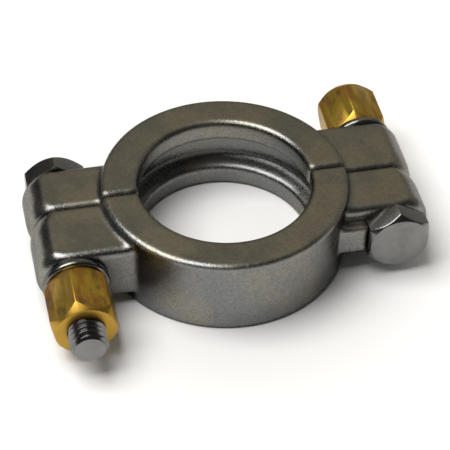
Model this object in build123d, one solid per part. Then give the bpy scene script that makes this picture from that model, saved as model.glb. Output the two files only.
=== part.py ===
from build123d import *
import math
import os

# Two-piece bolted clamp for clamp-type tube ferrules, in millimetres.
# The origin is the centre of the bore, on its middle plane. Z runs along the
# tube, X from lug to lug and Y along the bolts, with the front half at -Y.
# The rear half is the same casting turned half a turn about Z.

# Ring, with its bore between two lips and its wall measured behind the groove
lip_radius = 22.3
lip_edge_round = 1.2
ring_wall = 5.35
ring_height = 21.8
ring_edge_round = 1.0

# Groove that wedges the two ferrule flanges together
groove_depth = 4.1
groove_mouth = 10.2
groove_flank_angle = 20.0
groove_mouth_round = 1.2
groove_root_round = 0.8

# Split between the two halves
seam_gap = 0.4
seam_round = 1.0

# Lugs, with the bolt axis on the middle plane, outside the ring. The two margins are the
# plain wall left between the ring's rounded rim and the hollow round above or under a lug.
bolt_spread = 9.85
junction_round = 1.4
margin_above = 0.1
margin_below = 0.9
lug_end_bulge = 1.1
lug_crest_round = 1.7
lug_face_round = 3.2
lug_dip = 0.9
lug_dip_length = 3.5
lug_dip_round = 15.0
nut_lug_depth = 18.1
head_lug_depth = 15.0

# Ledge beside each bolt head, which stops the head from turning
ledge_depth = 18.2
ledge_rise = 4.7
ledge_drop = 3.4
ledge_round = 0.7
key_clearance = 0.2

# Bolts with a 3/8 in thread and 5/8 in hexagons, and how far each sticks out of its nut
thread_radius = 4.7625
left_bolt_end = 6.2
right_bolt_end = 1.6
bolt_end_chamfer = 0.9
hex_across_flats = 15.6
head_height = 5.4
head_face_radius = 7.5
head_chamfer_angle = 45.0
hole_clearance = 0.3

# Washers
washer_radius = 8.5
washer_thickness = 2.3
washer_round = 0.9
washer_clearance = 0.35

# Nuts
nut_length = 15.0
nut_end_radius = 7.4
nut_chamfer_angle = 55.0
thread_fit = 0.05
nut_countersink = 0.3
seat_gap = 0.03
right_nut_angle = 38.0
left_nut_angle = 42.5

groove_root_radius = lip_radius + groove_depth
ring_radius = groove_root_radius + ring_wall
bolt_offset = ring_radius + bolt_spread
lug_rise = ring_height / 2 - ring_edge_round - margin_above - junction_round
lug_drop = ring_height / 2 - ring_edge_round - margin_below - junction_round
lug_end_radius = lug_rise + lug_end_bulge
seam_limit = min(ring_edge_round, lip_edge_round, groove_mouth_round, lug_crest_round)
nut_seat = nut_lug_depth + washer_thickness + seat_gap
nut_end = nut_seat + nut_length

os.makedirs("parts", exist_ok=True)


def half_turn(shape):
    """The same piece on the other side of the bore."""
    return Rot(0, 0, 180) * shape


def along_y(sketch, start, end):
    """Extrude a sketch of the XZ plane from y = start to y = end."""
    return Pos(0, start, 0) * extrude(sketch, start - end)


def ring_outside():
    """The ring's outer form, still solid, with both rims rounded."""
    half = ring_height / 2
    outline = Plane.XZ * Pos(ring_radius / 2, 0) * Rectangle(ring_radius, 2 * half)
    rims = [v for v in outline.vertices() if v.X > ring_radius / 2]
    return revolve(fillet(rims, ring_edge_round), Axis.Z)


def bore_and_groove():
    """What the bore takes away: two lips and the wedge groove between them."""
    half = ring_height / 2
    mouth = groove_mouth / 2
    taper = math.tan(math.radians(groove_flank_angle))
    root = mouth - (groove_root_radius - lip_radius) * taper
    flare = lip_radius + 2 * lip_edge_round
    over = half + lip_edge_round
    side = [(0, over), (flare, over), (flare, half), (lip_radius, half)]
    side += [(lip_radius, mouth), (groove_root_radius, root)]
    mirrored = [(x, -z) for x, z in reversed(side)]
    outline = Plane.XZ * make_face(Polyline(*side, *mirrored, close=True))

    def corners(sketch, radius, height):
        return [v for v in sketch.vertices()
                if abs(v.X - radius) < 1e-3 and abs(abs(v.Z) - height) < 1e-3]

    outline = fillet(corners(outline, lip_radius, half), lip_edge_round)
    outline = fillet(corners(outline, lip_radius, mouth), groove_mouth_round)
    outline = fillet(corners(outline, groove_root_radius, root), groove_root_round)
    return revolve(outline, Axis.Z)


def lug_web(depth):
    """The right lug's straight part, rounded along its face."""
    section = Plane.YZ * Pos(-depth / 2, 0) * Rectangle(depth, 2 * lug_end_radius)
    rims = [v for v in section.vertices() if v.Y < -depth / 2]
    return extrude(fillet(rims, lug_face_round), bolt_offset)


def lug_end(depth):
    """The right lug's round end, domed at the seam and rounded along its face."""
    tip = bolt_offset + lug_end_radius
    outline = make_face(Polyline((bolt_offset, 0), (tip - lug_dip, 0), (tip, -lug_dip_length),
                                 (tip, -depth), (bolt_offset, -depth), close=True))
    outer = [v for v in outline.vertices() if abs(v.X - tip) < 1e-3]
    outline = fillet([v for v in outer if v.Y < -depth / 2], lug_face_round)
    bend = [v for v in outline.vertices() if abs(v.Y + lug_dip_length) < 1e-3]
    outline = fillet([v for v in bend if abs(v.X - tip) < 1e-3], lug_dip_round)
    return revolve(outline, Axis((bolt_offset, 0, 0), (0, 1, 0)))


def on_flat(edge):
    """Whether an edge goes round one of a lug's two flats, outside the cuts to come."""
    spots = [edge @ t for t in (0, 0.5, 1)]
    level = any(all(abs(p.Z - z) < 1e-3 for p in spots) for z in (lug_rise, -lug_drop))
    return level and (edge @ 0.5).X > 1e-3 and (edge @ 0.5).Y < -1e-3


def lug(side, depth):
    """One lug of the front half, held between two flats whose edges are rounded."""
    flats = Pos(0, 0, (lug_rise - lug_drop) / 2) * Box(4 * bolt_offset, 3 * depth,
                                                       lug_rise + lug_drop)
    body = (lug_web(depth) + lug_end(depth)) & flats
    body = fillet([e for e in body.edges() if on_flat(e)], lug_crest_round)
    return body if side > 0 else mirror(body, Plane.YZ)


def ledge():
    """The ledge that the right head's flat lies against."""
    outer = bolt_offset - hex_across_flats / 2 - key_clearance
    inner = ring_radius / 2
    height = ledge_rise + ledge_drop
    outline = Plane.XZ * Pos((outer + inner) / 2, (ledge_rise - ledge_drop) / 2)
    block = along_y(outline * Rectangle(outer - inner, height), 0, -ledge_depth)
    face = block.faces().sort_by(Axis.Y)[0]
    return fillet(face.edges(), ledge_round)


def on_ring_wall(edge):
    """Whether an edge lies where something meets the ring's outer wall."""
    spots = [edge @ t for t in (0, 0.5, 1)]
    wall = ring_height / 2 - ring_edge_round
    return all(abs(math.hypot(p.X, p.Y) - ring_radius) < 0.01
               and abs(p.Z) < wall - 0.01 for p in spots)


def bolt_hole(side, depth):
    """The hole through one lug of that depth."""
    hole = Circle(thread_radius + hole_clearance)
    return along_y(Plane.XZ * Pos(side * bolt_offset, 0) * hole, 1, -depth - 1)


def clamp_half():
    """The front casting: half the ring with a lug at each end."""
    body = ring_outside() + lug(-1, nut_lug_depth) + lug(1, head_lug_depth) + ledge()
    reach = bolt_offset + lug_end_radius
    front = Pos(0, -reach / 2 - seam_gap / 2, 0) * Box(3 * reach, reach, 3 * ring_height)
    body = body & front
    body = fillet([e for e in body.edges() if on_ring_wall(e)], junction_round)
    body -= bore_and_groove()
    seam = [e for e in body.edges()
            if abs((e @ 0).Y + seam_gap / 2) < 1e-3
            and abs((e @ 0.5).Y + seam_gap / 2) < 1e-3
            and abs((e @ 1).Y + seam_gap / 2) < 1e-3]
    body = fillet(seam, min(seam_round, seam_limit))
    body -= bolt_hole(-1, nut_lug_depth) + bolt_hole(1, head_lug_depth)
    return body


def hexagon(angle):
    """A hexagon across the right bolt, with a corner at that angle from +X."""
    return Plane.XZ * Pos(bolt_offset, 0) * RegularPolygon(
        hex_across_flats / 2, 6, major_radius=False, rotation=angle)


def turned(points):
    """A solid of revolution about the right bolt, from (radius, y) points."""
    outline = make_face(Polyline(*[(bolt_offset + r, y) for r, y in points], close=True))
    return revolve(outline, Axis((bolt_offset, 0, 0), (0, 1, 0)))


def chamfer_depth(face_radius, angle):
    """How far a chamfer that starts at that radius cuts back a hexagon's corner."""
    corner = hex_across_flats / math.sqrt(3)
    return (corner - face_radius) * math.tan(math.radians(angle))


def right_bolt(end):
    """A bolt that goes in from the front, with its end at y = end."""
    corner = hex_across_flats / math.sqrt(3)
    seat = -head_lug_depth
    face = seat - head_height
    cut = chamfer_depth(head_face_radius, head_chamfer_angle)
    head = along_y(hexagon(30), seat, face)
    head &= turned([(0, seat), (corner, seat), (corner, face + cut),
                    (head_face_radius, face), (0, face)])
    shank = turned([(0, seat), (thread_radius, seat), (thread_radius, end - bolt_end_chamfer),
                    (thread_radius - bolt_end_chamfer, end), (0, end)])
    return head + shank


def right_washer():
    """The washer under the right nut, its outer rim rounded."""
    inner = thread_radius + washer_clearance
    middle = nut_lug_depth + washer_thickness / 2
    section = Pos(bolt_offset + (inner + washer_radius) / 2, middle)
    section *= Rectangle(washer_radius - inner, washer_thickness)
    rims = [v for v in section.vertices() if v.X > bolt_offset + inner + washer_round]
    return revolve(fillet(rims, washer_round), Axis((bolt_offset, 0, 0), (0, 1, 0)))


def right_nut(angle):
    """The long nut at the rear, chamfered at both ends, around the right bolt."""
    corner = hex_across_flats / math.sqrt(3)
    bore = thread_radius + thread_fit
    cut = chamfer_depth(nut_end_radius, nut_chamfer_angle)
    nut = along_y(hexagon(angle), nut_seat, nut_end)
    nut &= turned([(0, nut_seat), (nut_end_radius, nut_seat), (corner, nut_seat + cut),
                   (corner, nut_end - cut), (nut_end_radius, nut_end), (0, nut_end)])
    sink = bore + nut_countersink
    nut -= turned([(0, nut_seat - 1), (sink, nut_seat - 1), (sink, nut_seat),
                   (bore, nut_seat + nut_countersink), (bore, nut_end - nut_countersink),
                   (sink, nut_end), (sink, nut_end + 1), (0, nut_end + 1)])
    return nut


front_half = clamp_half()
nodes = {
    "front_half": front_half,
    "rear_half": half_turn(front_half),
    "right_bolt": right_bolt(nut_end + right_bolt_end),
    "left_bolt": half_turn(right_bolt(nut_end + left_bolt_end)),
    "right_washer": right_washer(),
    "left_washer": half_turn(right_washer()),
    "right_nut": right_nut(right_nut_angle),
    "left_nut": half_turn(right_nut(180 - left_nut_angle)),
}
for name, shape in nodes.items():
    export_step(shape, f"parts/{name}.step")
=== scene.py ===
import logging
import math
from dataclasses import dataclass, field
from enum import Enum
from typing import Any, Callable, Union

import bmesh
import bpy
from mathutils import Matrix, Vector


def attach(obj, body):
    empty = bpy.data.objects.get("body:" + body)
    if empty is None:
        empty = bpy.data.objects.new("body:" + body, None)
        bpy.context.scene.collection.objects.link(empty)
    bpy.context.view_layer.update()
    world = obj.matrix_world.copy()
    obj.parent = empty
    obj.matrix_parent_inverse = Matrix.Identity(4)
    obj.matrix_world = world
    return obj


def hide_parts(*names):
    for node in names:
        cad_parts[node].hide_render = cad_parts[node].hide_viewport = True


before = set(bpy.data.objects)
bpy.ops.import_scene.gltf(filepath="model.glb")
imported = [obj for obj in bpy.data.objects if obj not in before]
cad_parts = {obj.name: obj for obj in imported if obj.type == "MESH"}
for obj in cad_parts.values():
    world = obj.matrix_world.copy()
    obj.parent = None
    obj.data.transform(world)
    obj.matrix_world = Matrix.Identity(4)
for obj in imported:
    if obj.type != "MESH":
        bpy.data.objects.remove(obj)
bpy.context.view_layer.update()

log = logging.getLogger("tube_clamp")

MM = 0.001
# How far the bolts stand from the bore's middle
BOLT_OFFSET = 41.6 * MM
# One flat's share of a turn
SECTOR = math.pi / 3
# How far a softened corner drops, as a share of the width that is softened
EDGE_SAG = 0.25
# Points of a built mesh this near are joined, and shorter edges go, in metres
WELD = 2e-6
SLIVER = 1e-6
# Where two faces meet at more than this, the edge stays sharp
CREASE = math.radians(24)
Colour = tuple[float, float, float]
Span = tuple[float, float]
Row = Callable[[float], tuple[float, float]]
Plug = Union["Signal", bpy.types.NodeSocket, float, tuple]


class Side(Enum):
    """Which side of the bore a bolt stands on."""

    RIGHT = 1
    LEFT = -1


class Signal:
    """One number in a shader; an expression on it adds its Math nodes."""

    def __init__(self, shader: "Shader", socket: bpy.types.NodeSocket) -> None:
        """Wrap an output socket.

        Args:
            shader: The shader that the socket belongs to.
            socket: The output that carries the number.
        """
        self.shader = shader
        self.socket = socket

    def maths(self, operation: str, *values: Plug) -> "Signal":
        """Add a Math node.

        Args:
            operation: The Math node's operation.
            values: The node's inputs, in order.

        Returns:
            The node's result.
        """
        made = self.shader.node("ShaderNodeMath", {"operation": operation},
                                dict(enumerate(values)))
        return Signal(self.shader, made.outputs[0])

    def __add__(self, other: Plug) -> "Signal":
        """Return self + other."""
        return self.maths("ADD", self, other)

    def __radd__(self, other: Plug) -> "Signal":
        """Return other + self."""
        return self.maths("ADD", other, self)

    def __sub__(self, other: Plug) -> "Signal":
        """Return self - other."""
        return self.maths("SUBTRACT", self, other)

    def __rsub__(self, other: Plug) -> "Signal":
        """Return other - self."""
        return self.maths("SUBTRACT", other, self)

    def __mul__(self, other: Plug) -> "Signal":
        """Return self * other."""
        return self.maths("MULTIPLY", self, other)

    def __rmul__(self, other: Plug) -> "Signal":
        """Return other * self."""
        return self.maths("MULTIPLY", other, self)

    def __pow__(self, other: Plug) -> "Signal":
        """Return self to the power of other."""
        return self.maths("POWER", self, other)

    def __abs__(self) -> "Signal":
        """Return the size of self without its sign."""
        return self.maths("ABSOLUTE", self)

    def either(self, other: Plug) -> "Signal":
        """Return the larger of self and other."""
        return self.maths("MAXIMUM", self, other)

    def ramp(self, low: float, high: float) -> "Signal":
        """Return 0 at low and 1 at high, smoothly between them.

        Args:
            low: The value that gives 0.
            high: The value that gives 1.

        Returns:
            The smoothed step.
        """
        made = self.shader.node("ShaderNodeMapRange", {"interpolation_type": "SMOOTHSTEP"},
                                {0: self, 1: low, 2: high, 3: 0.0, 4: 1.0})
        return Signal(self.shader, made.outputs[0])


class Shader:
    """The nodes of one material or of the world."""

    def __init__(self, tree: bpy.types.NodeTree) -> None:
        """Empty a node tree, ready for new nodes."""
        tree.nodes.clear()
        self.tree = tree

    def plug(self, socket: bpy.types.NodeSocket, value: Plug) -> None:
        """Link a value to a socket, or set it there.

        Args:
            socket: The input to fill.
            value: A signal, an output socket, a number, a vector or a colour.
        """
        if isinstance(value, Signal):
            self.tree.links.new(value.socket, socket)
        elif isinstance(value, bpy.types.NodeSocket):
            self.tree.links.new(value, socket)
        elif isinstance(value, tuple) and len(value) == 3 and socket.type == "RGBA":
            socket.default_value = (*value, 1.0)
        else:
            socket.default_value = value

    def node(self, kind: str, settings: dict[str, Any], sockets: dict) -> bpy.types.Node:
        """Add one node.

        Args:
            kind: The node's type.
            settings: Its settings, set before its sockets.
            sockets: The values or links of its input sockets, by name or place.

        Returns:
            The new node.
        """
        made = self.tree.nodes.new(kind)
        for name, value in settings.items():
            setattr(made, name, value)
        for key, value in sockets.items():
            self.plug(made.inputs[key], value)
        return made

    def place(self) -> bpy.types.NodeSocket:
        """Return the point being shaded, in metres in the object's own space."""
        return self.node("ShaderNodeTexCoord", {}, {}).outputs["Object"]

    def towards(self, way: tuple) -> Signal:
        """Compare a world shader's direction with another.

        Args:
            way: The other direction, as a unit vector.

        Returns:
            How far the two agree, from -1 to 1.
        """
        sky = self.node("ShaderNodeTexCoord", {}, {}).outputs["Generated"]
        made = self.node("ShaderNodeVectorMath", {"operation": "DOT_PRODUCT"}, {0: sky, 1: way})
        return Signal(self, made.outputs["Value"])

    def parts(self, vector: bpy.types.NodeSocket) -> tuple[Signal, Signal, Signal]:
        """Split a vector.

        Args:
            vector: The vector's socket.

        Returns:
            Its x, y and z.
        """
        made = self.node("ShaderNodeSeparateXYZ", {}, {0: vector})
        return tuple(Signal(self, out) for out in made.outputs)

    def facing(self) -> Signal:
        """Return how far the surface faces along the bolts, from 0 to 1."""
        normal = self.node("ShaderNodeNewGeometry", {}, {}).outputs["Normal"]
        return abs(self.parts(normal)[1])

    def stretch(self, vector: bpy.types.NodeSocket, by: tuple) -> bpy.types.NodeSocket:
        """Multiply a vector by another, part by part.

        Args:
            vector: The vector's socket.
            by: The three factors.

        Returns:
            The product's socket.
        """
        made = self.node("ShaderNodeVectorMath", {"operation": "MULTIPLY"}, {0: vector, 1: by})
        return made.outputs[0]

    def noise(self, vector: bpy.types.NodeSocket, size: float, detail: float = 2.0,
              rough: float = 0.5, warp: float = 0.0) -> Signal:
        """Add a noise.

        Args:
            vector: Where the noise is read.
            size: The length of its features, in metres.
            detail: How many finer layers it has.
            rough: How strong the finer layers are.
            warp: How far the noise bends itself.

        Returns:
            The noise, about 0.5 on average.
        """
        made = self.node("ShaderNodeTexNoise", {}, {
            "Vector": vector, "Scale": 1.0 / size, "Detail": detail,
            "Roughness": rough, "Distortion": warp})
        return Signal(self, made.outputs[0])

    def blend(self, share: Plug, first: Plug, second: Plug) -> bpy.types.NodeSocket:
        """Mix two colours.

        Args:
            share: How much of the second colour there is.
            first: The colour at 0.
            second: The colour at 1.

        Returns:
            The mixed colour's socket.
        """
        made = self.node("ShaderNodeMix", {"data_type": "RGBA"}, {0: share, 6: first, 7: second})
        return made.outputs[2]

    def openness(self, reach: float) -> Signal:
        """Return how open the surface lies, from 0 deep in a corner to 1 in the open.

        Args:
            reach: How far away another surface of the same piece still counts, in metres.

        Returns:
            The openness.
        """
        made = self.node("ShaderNodeAmbientOcclusion", {"samples": 12, "only_local": True},
                         {"Distance": reach})
        return Signal(self, made.outputs["AO"])

    def bump(self, height: Signal, depth: float, soften: float = 0.1 * MM) -> bpy.types.NodeSocket:
        """Turn a height from 0 to 1 into a bumpy normal.

        Args:
            height: The height.
            depth: What a height of 1 measures, in metres.
            soften: How wide edges are blurred first, in metres.

        Returns:
            The normal's socket.
        """
        edges = self.node("ShaderNodeBevel", {"samples": 6}, {"Radius": soften})
        made = self.node("ShaderNodeBump", {}, {"Strength": 1.0, "Distance": depth,
                                                "Height": height, "Normal": edges.outputs[0]})
        return made.outputs[0]

    def metal(self, colour: Plug, roughness: Plug, normal: Plug, edge: Colour) -> None:
        """Finish the material as bare metal.

        Args:
            colour: The metal's colour.
            roughness: How far it blurs what it reflects.
            normal: The bumpy normal.
            edge: What its reflections are multiplied by where it is seen edge on.
        """
        surface = self.node("ShaderNodeBsdfPrincipled", {}, {
            "Base Color": colour, "Metallic": 1.0, "Roughness": roughness, "Normal": normal,
            "Specular Tint": edge})
        self.node("ShaderNodeOutputMaterial", {}, {"Surface": surface.outputs[0]})


def new_material(name: str) -> tuple[bpy.types.Material, Shader]:
    """Make an empty material.

    Args:
        name: The material's name.

    Returns:
        The material and its shader.
    """
    material = bpy.data.materials.new(name)
    material.use_nodes = True
    return material, Shader(material.node_tree)


# In the finishes, a span is the pair of values between which a feature fades in, a dark is
# the share of the darker colour that it brings and a rough is what it adds to the roughness.


@dataclass(frozen=True)
class CastSteel:
    """Cast stainless steel, polished over a skin that stays faintly pebbled, with painted shade
    darkening its corners.
    """

    cool: Colour = (0.222, 0.226, 0.224)
    warm: Colour = (0.272, 0.260, 0.222)
    # The darker colour of the pebbled specks and of the painted shade in the corners.
    speck_and_corner_shade: Colour = (0.045, 0.045, 0.045)
    patch: float = 14 * MM
    patch_span: Span = (0.36, 0.64)
    pebble: float = 1.1 * MM
    pebble_depth: float = 0.03 * MM
    pebble_span: Span = (0.35, 0.7)
    pebble_dark: float = 0.10
    grit: float = 0.40 * MM
    grit_depth: float = 0.011 * MM
    grit_span: Span = (0.38, 0.68)
    grit_dark: float = 0.30
    # The corner values set the painted shade: how far it reaches, where it fades in and how dark
    # it is.
    corner: float = 13 * MM
    corner_span: Span = (0.35, 1.0)
    corner_shade: float = 0.65
    edge_blur: float = 1.9 * MM
    edge: Colour = (0.55, 0.55, 0.55)
    roughness: float = 0.25
    patch_rough: float = 0.10
    grit_rough: float = 0.20
    corner_rough: float = 0.08

    def material(self) -> bpy.types.Material:
        """Build the finish.

        Returns:
            The new material.
        """
        material, shader = new_material("cast_steel")
        spot = shader.place()
        patches = shader.noise(spot, self.patch, detail=4.0, rough=0.6).ramp(*self.patch_span)
        colour = shader.blend(patches, self.cool, self.warm)
        pebbles = shader.noise(spot, self.pebble, detail=1.0, rough=0.4)
        grit = shader.noise(spot, self.grit, detail=2.0, rough=0.6)
        specks = self.grit_dark * grit.ramp(*self.grit_span)
        specks = specks + self.pebble_dark * pebbles.ramp(*self.pebble_span)
        # Painted shade: corners and hollows of the casting are darkened in the base colour, where
        # shade falls.
        corners = 1 - shader.openness(self.corner).ramp(*self.corner_span)
        dull = specks.either(self.corner_shade * corners)
        colour = shader.blend(dull, colour, self.speck_and_corner_shade)
        rough = self.roughness + self.patch_rough * (patches - 0.5)
        rough = rough + self.grit_rough * (grit - 0.5) + self.corner_rough * corners
        height = pebbles + (self.grit_depth / self.pebble_depth) * grit
        normal = shader.bump(height, self.pebble_depth, self.edge_blur)
        shader.metal(colour, rough, normal, self.edge)
        return material


@dataclass(frozen=True)
class BoltSteel:
    """Satin stainless steel, with painted shade down between the threads and darker clouds at
    random.
    """

    clean: Colour = (0.205, 0.205, 0.20)
    # The darker colour of the random clouds and of the painted shade in the thread's roots.
    cloud_and_thread_shade: Colour = (0.08, 0.075, 0.07)
    edge: Colour = (1.0, 1.0, 1.0)
    thread_top: float = 4.7 * MM
    thread_root: float = 3.85 * MM
    thread_shade: float = 0.55
    end_span: Span = (0.9, 0.98)
    cloud: float = 5 * MM
    cloud_span: Span = (0.35, 0.75)
    cloud_dark: float = 0.35
    grain: float = 0.5 * MM
    grain_depth: float = 0.004 * MM
    roughness: float = 0.23
    cloud_rough: float = 0.16
    grain_rough: float = 0.10

    def material(self) -> bpy.types.Material:
        """Build the finish.

        Returns:
            The new material.
        """
        material, shader = new_material("bolt_steel")
        spot = shader.place()
        x, _, z = shader.parts(spot)
        # Painted shade: the thread's roots are darkened in the base colour, where shade falls.
        across = abs(x) - BOLT_OFFSET
        radius = (across * across + z * z) ** 0.5
        in_thread = 1 - radius.ramp(self.thread_root, self.thread_top)
        in_thread = in_thread * (1 - shader.facing().ramp(*self.end_span))
        clouds = shader.noise(spot, self.cloud, detail=3.0, rough=0.6)
        grain = shader.noise(spot, self.grain, detail=2.0, rough=0.6)
        cloudy = self.cloud_dark * clouds.ramp(*self.cloud_span)
        dull = (self.thread_shade * in_thread).either(cloudy)
        colour = shader.blend(dull, self.clean, self.cloud_and_thread_shade)
        rough = self.roughness + self.cloud_rough * (clouds - 0.5)
        rough = rough + self.grain_rough * (grain - 0.5)
        shader.metal(colour, rough, shader.bump(grain, self.grain_depth), self.edge)
        return material


@dataclass(frozen=True)
class WasherSteel:
    """Bright washer steel, clouded a little and finely grained."""

    light: Colour = (0.22, 0.22, 0.21)
    dim: Colour = (0.11, 0.11, 0.10)
    edge: Colour = (0.6, 0.6, 0.6)
    cloud: float = 3 * MM
    cloud_span: Span = (0.3, 0.7)
    grain: float = 0.3 * MM
    grain_depth: float = 0.003 * MM
    roughness: float = 0.24
    cloud_rough: float = 0.14
    grain_rough: float = 0.08

    def material(self) -> bpy.types.Material:
        """Build the finish.

        Returns:
            The new material.
        """
        material, shader = new_material("washer_steel")
        spot = shader.place()
        clouds = shader.noise(spot, self.cloud, detail=3.0, rough=0.6)
        grain = shader.noise(spot, self.grain, detail=2.0, rough=0.6)
        colour = shader.blend(clouds.ramp(*self.cloud_span), self.light, self.dim)
        rough = self.roughness + self.cloud_rough * (clouds - 0.5)
        rough = rough + self.grain_rough * (grain - 0.5)
        shader.metal(colour, rough, shader.bump(grain, self.grain_depth), self.edge)
        return material


@dataclass(frozen=True)
class TarnishedBrass:
    """Brass bar, tarnished in brown blotches and stained along its flats.

    Each feature has its size across the bar and its pull, which is its width over its
    length. The cut faces are the chamfers and the ends.
    """

    clean: Colour = (0.51, 0.345, 0.05)
    brown: Colour = (0.36, 0.18, 0.04)
    dark: Colour = (0.10, 0.055, 0.055)
    edge: Colour = (0.9, 0.9, 0.9)
    cut_span: Span = (0.15, 0.4)
    cut_clean: float = 0.45
    cut_brown: float = 0.50
    blotch: float = 5 * MM
    blotch_pull: float = 0.35
    blotch_span: Span = (0.38, 0.62)
    fleck: float = 3.0 * MM
    fleck_pull: float = 0.6
    fleck_span: Span = (0.50, 0.70)
    streak: float = 0.9 * MM
    streak_pull: float = 0.03
    streak_span: Span = (0.60, 0.72)
    streak_dark: float = 0.8
    stain_dark: float = 0.55
    scratch: float = 0.25 * MM
    scratch_pull: float = 0.08
    scratch_depth: float = 0.004 * MM
    roughness: float = 0.40
    blotch_rough: float = 0.22
    scratch_rough: float = 0.10

    def material(self) -> bpy.types.Material:
        """Build the finish.

        Returns:
            The new material.
        """
        material, shader = new_material("nut_brass")
        spot = shader.place()

        def pulled(pull: float) -> bpy.types.NodeSocket:
            """Return the place with its length along the bar shrunk."""
            return shader.stretch(spot, (1.0, pull, 1.0))

        blotches = shader.noise(pulled(self.blotch_pull), self.blotch,
                                detail=4.0, rough=0.6, warp=0.6)
        flecks = shader.noise(pulled(self.fleck_pull), self.fleck,
                              detail=3.0, rough=0.6, warp=0.15)
        streaks = shader.noise(pulled(self.streak_pull), self.streak, detail=2.0, rough=0.5)
        scratches = shader.noise(pulled(self.scratch_pull), self.scratch, detail=2.0, rough=0.6)
        cut = shader.facing().ramp(*self.cut_span)
        tarnish = blotches.ramp(*self.blotch_span) * (1 - self.cut_clean * cut)
        tarnish = tarnish.either(self.cut_brown * cut)
        streaky = self.streak_dark * streaks.ramp(*self.streak_span)
        stains = flecks.ramp(*self.fleck_span).either(streaky) * (1 - cut)
        colour = shader.blend(tarnish, self.clean, self.brown)
        colour = shader.blend(self.stain_dark * stains, colour, self.dark)
        rough = self.roughness + self.blotch_rough * (blotches - 0.5)
        rough = rough + self.scratch_rough * (scratches - 0.5)
        shader.metal(colour, rough, shader.bump(scratches, self.scratch_depth), self.edge)
        return material


@dataclass(frozen=True)
class PaleFloor:
    """White paper, shown whiter away from the clamp, to the eye and in reflections."""

    paper: Colour = (0.88, 0.88, 0.88)
    near: float = 30 * MM
    far: float = 100 * MM
    lift: float = 0.32

    def material(self) -> bpy.types.Material:
        """Build the finish.

        Returns:
            The new material.
        """
        material, shader = new_material("pale_floor")
        path = shader.node("ShaderNodeLightPath", {}, {})
        seen = Signal(shader, path.outputs["Is Camera Ray"])
        for ray in ("Is Glossy Ray", "Is Transmission Ray"):
            seen = seen.either(path.outputs[ray])
        x, y, _ = shader.parts(shader.place())
        away = ((x * x + y * y) ** 0.5).ramp(self.near, self.far)
        white = shader.blend(away * seen, (0.0, 0.0, 0.0), (1.0, 1.0, 1.0))
        paper = shader.node("ShaderNodeBsdfDiffuse", {}, {"Color": self.paper})
        glow = shader.node("ShaderNodeEmission", {}, {"Color": white, "Strength": self.lift})
        both = shader.node("ShaderNodeAddShader", {}, {0: paper.outputs[0], 1: glow.outputs[0]})
        shader.node("ShaderNodeOutputMaterial", {}, {"Surface": both.outputs[0]})
        return material


@dataclass
class HexBar:
    """A hexagonal bar's section, with its corners rounded a little."""

    across_flats: float = 15.6 * MM
    corner_round: float = 0.35 * MM
    turn: float = 30.0

    def shoulder(self) -> tuple[float, float]:
        """Measure the arc that rounds each corner.

        Returns:
            Its centre's distance from the axis, and half its angle seen from the axis.
        """
        middle = self.across_flats / math.sqrt(3) - 2 * self.corner_round / math.sqrt(3)
        rise = self.corner_round * math.cos(math.pi / 6)
        half = math.atan2(self.corner_round / 2, middle + rise)
        return middle, half

    def radius(self, angle: float) -> float:
        """Return the section's reach at an angle from +X, in metres.

        Args:
            angle: The angle in radians.

        Returns:
            The distance from the axis to the outside.
        """
        middle, half = self.shoulder()
        off = (angle - math.radians(self.turn) + SECTOR / 2) % SECTOR - SECTOR / 2
        if abs(off) < half:
            return middle * math.cos(off) + math.sqrt(
                self.corner_round ** 2 - (middle * math.sin(off)) ** 2)
        return self.across_flats / 2 / math.cos(SECTOR / 2 - abs(off))

    def angles(self, flat_steps: int = 8) -> list[float]:
        """Return the angles where the section is cut, once round and back to the first.

        Args:
            flat_steps: How many steps each flat has.

        Returns:
            The angles in radians, growing from the first corner.
        """
        half = self.shoulder()[1]
        flat = SECTOR - 2 * half
        found = []
        for corner in range(6):
            start = math.radians(self.turn) + corner * SECTOR
            found += [start - half, start - half / 2, start, start + half / 2]
            found += [start + half + flat * i / flat_steps for i in range(flat_steps)]
        return found + [found[0] + 2 * math.pi]


@dataclass
class Thread:
    """A right-hand screw thread along +Y.

    Each stop is a place across the profile, in pitches, and the depth's share there. The
    steps are the places where the thread has rows of points.
    """

    pitch: float = 1.5875 * MM
    radius: float = 4.75 * MM
    depth: float = 0.95 * MM
    stops: tuple = ((0.0, 0.06), (0.03, 0.0), (0.095, 0.0), (0.125, 0.06), (0.479, 0.95),
                    (0.52, 1.0), (0.605, 1.0), (0.646, 0.95), (1.0, 0.06))
    steps: tuple = (0.0, 0.03, 0.095, 0.125, 0.30, 0.479, 0.52, 0.605, 0.646, 0.82)

    def cut(self, turn: float) -> float:
        """Return how deep the profile is, from 0 at the crest to 1 at the root.

        Args:
            turn: The place across the profile, in pitches.

        Returns:
            The depth as a share of the whole.
        """
        turn %= 1.0
        for (u, low), (v, high) in zip(self.stops, self.stops[1:]):
            if u <= turn <= v:
                return low + (high - low) * (turn - u) / (v - u)
        return self.stops[-1][1]

    def profile(self, angle: float, y: float) -> float:
        """Return the thread's depth at a point, as a share of the whole.

        Args:
            angle: The angle round the axis, in radians.
            y: The place along the axis, in metres.

        Returns:
            The depth's share.
        """
        return self.cut(y / self.pitch + angle / (2 * math.pi))

    def places(self, start: float, end: float) -> list[float]:
        """Return where each row of the thread crosses angle 0.

        Args:
            start: The lowest y.
            end: The highest y.

        Returns:
            The rows' y at angle 0, from start to a turn past the end.
        """
        first = math.floor(start / self.pitch) - 1
        last = math.ceil(end / self.pitch) + 3
        return [(turn + step) * self.pitch
                for turn in range(first, last) for step in self.steps]


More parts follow.
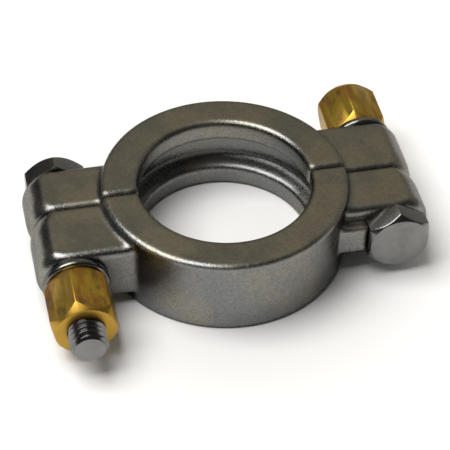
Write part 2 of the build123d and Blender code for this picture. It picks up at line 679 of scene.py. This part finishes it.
@dataclass
class TurnedPiece:
    """A piece built from rows of points round a bolt's axis, then turned to its side."""

    name: str
    side: Side
    angles: list[float]
    rows: list[list[tuple[float, float]]] = field(default_factory=list)

    def add(self, row: Row) -> None:
        """Add one row of points.

        Args:
            row: Gives the radius and y for an angle.
        """
        self.rows.append([row(angle) for angle in self.angles])

    def ring(self, radius: float, y: float) -> None:
        """Add a plain circle of points."""
        self.add(lambda angle: (radius, y))

    def thread(self, thread: Thread, start: float, end: float, reach: Callable[[float], float],
               fade: Callable[[float], float], down: bool = False) -> None:
        """Add a thread's rows, each of them a helix held between two ends.

        Args:
            thread: The thread.
            start: The lowest y.
            end: The highest y.
            reach: The largest radius at a y.
            fade: The share of the thread's full depth at a y.
            down: Whether the rows run from the end to the start.
        """
        places = thread.places(start, end)
        for place in reversed(places) if down else places:
            def row(angle: float, place: float = place) -> tuple[float, float]:
                """Find one point of this helix.

                Args:
                    angle: The angle round the axis, in radians.
                    place: Where the helix crosses angle 0.

                Returns:
                    The point's radius and y.
                """
                y = min(max(place - thread.pitch * angle / (2 * math.pi), start), end)
                deep = thread.depth * thread.profile(angle, y) * fade(y)
                return min(thread.radius - deep, reach(y)), y
            self.add(row)

    def build(self, closed: bool = False) -> bpy.types.Object:
        """Make the object from its rows.

        Args:
            closed: Whether the last row joins the first, as in a piece with a hole.

        Returns:
            The new object, in the frame's own place.
        """
        turn = self.side.value
        width = len(self.angles)
        spots = [(turn * (BOLT_OFFSET + r * math.cos(a)), turn * y, r * math.sin(a))
                 for row in self.rows for a, (r, y) in zip(self.angles, row)]
        pairs = list(zip(range(len(self.rows)), range(1, len(self.rows))))
        if closed:
            pairs.append((len(self.rows) - 1, 0))
        faces = [(i * width + k, i * width + k + 1, j * width + k + 1, j * width + k)
                 for i, j in pairs for k in range(width - 1)]
        return finished(self.name, spots, faces)


def finished(name: str, spots: list, faces: list) -> bpy.types.Object:
    """Make a smooth-shaded object with its sharp edges marked.

    Args:
        name: The object's name.
        spots: Its points.
        faces: Its faces, as places in spots.

    Returns:
        The new object, linked to the scene.
    """
    mesh = bpy.data.meshes.new(name)
    mesh.from_pydata(spots, [], faces)
    shape = bmesh.new()
    shape.from_mesh(mesh)
    bmesh.ops.remove_doubles(shape, verts=shape.verts, dist=WELD)
    bmesh.ops.dissolve_degenerate(shape, edges=shape.edges, dist=SLIVER)
    bmesh.ops.recalc_face_normals(shape, faces=shape.faces)
    for face in shape.faces:
        face.smooth = True
    shape.to_mesh(mesh)
    shape.free()
    mesh.set_sharp_from_angle(angle=CREASE)
    made = bpy.data.objects.new(name, mesh)
    bpy.context.scene.collection.objects.link(made)
    return made


def dress(piece: bpy.types.Object, material: bpy.types.Material) -> None:
    """Give every face of a piece one material.

    Args:
        piece: The piece.
        material: The material.
    """
    if not piece.material_slots:
        piece.data.materials.append(material)
    for slot in piece.material_slots:
        slot.material = material


@dataclass
class ClampHalf:
    """One casting: half the grooved ring with its two lugs and the ledge for a bolt head."""

    node: str

    def build(self, material: bpy.types.Material) -> None:
        """Dress the casting in its material."""
        dress(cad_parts[self.node], material)
        log.info("%s: dressed as cast steel", self.node)


@dataclass
class PlainWasher:
    """A washer with a rounded rim, under one nut."""

    node: str

    def build(self, material: bpy.types.Material) -> None:
        """Dress the washer in its material."""
        dress(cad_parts[self.node], material)
        log.info("%s: dressed as washer steel", self.node)


@dataclass
class KeyedBolt:
    """A hexagon-headed bolt with a cut thread, which stands for the plain bolt of the frame."""

    node: str
    body: str
    side: Side
    end: float
    seat: float = -15.0 * MM
    head_height: float = 5.4 * MM
    face_radius: float = 7.5 * MM
    chamfer_slope: float = math.tan(math.radians(45))
    shank_radius: float = 4.7625 * MM
    edge_round: float = 0.16 * MM
    rim_in: float = 0.2
    rim_back: float = 0.15
    thread_length: float = 25.4 * MM
    run_out: float = 1.5
    end_chamfer: float = 0.9 * MM
    tip_round: float = 0.25 * MM
    bar: HexBar = field(default_factory=HexBar)

    def chamfer(self, radius: float) -> float:
        """Return how far the head's chamfer lies behind its face at a radius."""
        return max(0.0, (radius - self.face_radius) * self.chamfer_slope)

    def head(self, piece: TurnedPiece) -> None:
        """Add the head's rows, from the middle of its face to the neck.

        Args:
            piece: The piece that takes the rows.
        """
        face = self.seat - self.head_height
        edge = self.edge_round
        piece.ring(0.0, face)
        piece.ring(self.face_radius / 2, face)
        piece.ring(self.face_radius - edge, face)
        piece.ring(self.face_radius, face + EDGE_SAG * edge * self.chamfer_slope)
        piece.add(lambda a: (self.bar.radius(a) - edge,
                             face + self.chamfer(self.bar.radius(a) - edge)))
        piece.add(lambda a: (self.bar.radius(a) - self.rim_in * edge,
                             face + self.chamfer(self.bar.radius(a)) + self.rim_back * edge))
        piece.add(lambda a: (self.bar.radius(a), face + self.chamfer(self.bar.radius(a)) + edge))
        piece.add(lambda a: (self.bar.radius(a), self.seat - edge))
        piece.add(lambda a: (self.bar.radius(a) - edge, self.seat))
        piece.ring(self.shank_radius, self.seat)

    def build(self, material: bpy.types.Material) -> None:
        """Make the bolt, dress it and put it on its body.

        Args:
            material: The bolt's material.
        """
        piece = TurnedPiece(self.node + "_cut", self.side, self.bar.angles())
        self.head(piece)
        thread = Thread()
        start = self.end - self.thread_length
        piece.ring(self.shank_radius, start)
        tip = self.shank_radius - self.end_chamfer
        piece.thread(thread, start, self.end,
                     lambda y: min(self.shank_radius, tip + (self.end - y)),
                     lambda y: min(1.0, (y - start) / (self.run_out * thread.pitch)))
        piece.ring(tip - self.tip_round, self.end)
        piece.ring(0.0, self.end)
        made = piece.build()
        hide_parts(self.node)
        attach(made, self.body)
        dress(made, material)
        log.info("%s: %d faces on %s", made.name, len(made.data.polygons), self.body)


@dataclass
class LongNut:
    """A long hexagon nut with both ends chamfered and a thread through it."""

    node: str
    side: Side
    turn: float
    seat: float = 20.43 * MM
    end: float = 35.43 * MM
    end_radius: float = 7.4 * MM
    chamfer_slope: float = math.tan(math.radians(55))
    edge_round: float = 0.16 * MM
    fit: float = 0.05 * MM
    sink: float = 0.3 * MM
    corner_round: float = 0.45 * MM

    def outside(self, piece: TurnedPiece, bar: HexBar) -> None:
        """Add the rows over the outside, from the seat to the far end.

        Args:
            piece: The piece that takes the rows.
            bar: The bar that the nut is cut from.
        """
        edge = self.edge_round

        def cut(radius: float) -> float:
            """Return how far the chamfer goes back at a radius."""
            return max(0.0, (radius - self.end_radius) * self.chamfer_slope)

        piece.ring(self.end_radius - edge, self.seat)
        piece.ring(self.end_radius, self.seat + EDGE_SAG * edge * self.chamfer_slope)
        piece.add(lambda a: (bar.radius(a) - edge, self.seat + cut(bar.radius(a) - edge)))
        piece.add(lambda a: (bar.radius(a), self.seat + cut(bar.radius(a)) + edge))
        piece.add(lambda a: (bar.radius(a), self.end - cut(bar.radius(a)) - edge))
        piece.add(lambda a: (bar.radius(a) - edge, self.end - cut(bar.radius(a) - edge)))
        piece.ring(self.end_radius, self.end - EDGE_SAG * edge * self.chamfer_slope)
        piece.ring(self.end_radius - edge, self.end)

    def build(self, material: bpy.types.Material) -> None:
        """Make the nut, dress it and put it on its body.

        Args:
            material: The nut's material.
        """
        bar = HexBar(corner_round=self.corner_round, turn=self.turn)
        piece = TurnedPiece(self.node + "_cut", self.side, bar.angles())
        self.outside(piece, bar)
        bore = Thread().radius + self.fit
        piece.ring(bore + self.sink, self.end)
        piece.thread(Thread(radius=bore), self.seat, self.end,
                     lambda y: bore,
                     lambda y: min(1.0, (self.end - y) / self.sink, (y - self.seat) / self.sink),
                     down=True)
        piece.ring(bore + self.sink, self.seat)
        made = piece.build(closed=True)
        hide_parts(self.node)
        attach(made, self.node)
        dress(made, material)
        log.info("%s: %d faces", made.name, len(made.data.polygons))


@dataclass
class Studio:
    """The camera, the pale floor, the dim room round it and one soft lamp."""

    floor_height: float = -10.9 * MM
    floor_half: float = 3.0
    camera_place: tuple = (-0.07662, -0.33589, 0.32732)
    camera_right: tuple = (0.97820, -0.20693, 0.01741)
    camera_up: tuple = (0.13150, 0.68214, 0.71930)
    lens: float = 146.35
    sensor: float = 36.0
    clip_start: float = 0.01
    dim: Colour = (0.05, 0.05, 0.05)
    wall: Colour = (0.43, 0.385, 0.285)
    wall_way: tuple = (0.12, 0.70, 0.70)
    wall_span: Span = (0.70, 0.96)
    corner: Colour = (0.32, 0.315, 0.29)
    corner_way: tuple = (0.78, 0.58, 0.25)
    corner_span: Span = (0.55, 0.95)
    lamp_place: tuple = (-0.40, 0.03, 0.97)
    lamp_size: float = 0.80
    lamp_power: float = 13.4
    lamp_colour: Colour = (1.0, 0.99, 0.97)

    def floor(self) -> None:
        """Make the floor that the clamp stands on."""
        reach = self.floor_half
        spots = [(-reach, -reach, self.floor_height), (reach, -reach, self.floor_height),
                 (reach, reach, self.floor_height), (-reach, reach, self.floor_height)]
        made = finished("floor", spots, [(0, 1, 2, 3)])
        dress(made, PaleFloor().material())

    def room(self) -> None:
        """Make the room: dim, with a warm pale wall behind and a paler corner to the right."""
        world = bpy.data.worlds.new("room")
        world.use_nodes = True
        bpy.context.scene.world = world
        shader = Shader(world.node_tree)
        wall = shader.towards(self.wall_way).ramp(*self.wall_span)
        corner = shader.towards(self.corner_way).ramp(*self.corner_span)
        colour = shader.blend(corner, self.dim, self.corner)
        colour = shader.blend(wall, colour, self.wall)
        sky = shader.node("ShaderNodeBackground", {}, {"Color": colour, "Strength": 1.0})
        shader.node("ShaderNodeOutputWorld", {}, {"Surface": sky.outputs[0]})

    def lamp(self) -> None:
        """Hang the soft lamp above the clamp, to the left, facing it."""
        light = bpy.data.lights.new("key", "AREA")
        light.shape = "RECTANGLE"
        light.size = light.size_y = self.lamp_size
        light.energy = self.lamp_power
        light.color = self.lamp_colour
        made = bpy.data.objects.new("key", light)
        made.location = self.lamp_place
        made.rotation_euler = Vector(self.lamp_place).to_track_quat("Z", "Y").to_euler()
        bpy.context.scene.collection.objects.link(made)

    def camera(self) -> None:
        """Stand the camera where the photograph was taken from."""
        lens = bpy.data.cameras.new("camera")
        lens.lens = self.lens
        lens.sensor_width = self.sensor
        lens.clip_start = self.clip_start
        right, up = Vector(self.camera_right), Vector(self.camera_up)
        turn = Matrix((right, up, right.cross(up))).transposed().to_4x4()
        made = bpy.data.objects.new("camera", lens)
        made.matrix_world = Matrix.Translation(self.camera_place) @ turn
        bpy.context.scene.collection.objects.link(made)
        bpy.context.scene.camera = made

    def build(self) -> None:
        """Make the whole studio."""
        self.camera()
        self.floor()
        self.room()
        self.lamp()
        bpy.context.scene.view_settings.view_transform = "Standard"
        log.info("studio: camera, floor, room and lamp")


def main() -> None:
    """Build the clamp's pieces in order, then the studio."""
    logging.basicConfig(level=logging.INFO, format="%(name)s %(message)s")
    cast, bolt = CastSteel().material(), BoltSteel().material()
    washer, brass = WasherSteel().material(), TarnishedBrass().material()
    for half in (ClampHalf("front_half"), ClampHalf("rear_half")):
        half.build(cast)
    for ring in (PlainWasher("left_washer"), PlainWasher("right_washer")):
        ring.build(washer)
    KeyedBolt("right_bolt", "front", Side.RIGHT, end=37.03 * MM).build(bolt)
    KeyedBolt("left_bolt", "rear", Side.LEFT, end=41.63 * MM).build(bolt)
    LongNut("right_nut", Side.RIGHT, turn=38.0).build(brass)
    LongNut("left_nut", Side.LEFT, turn=180 - 42.5).build(brass)
    Studio().build()


if __name__ == "__main__":
    main()
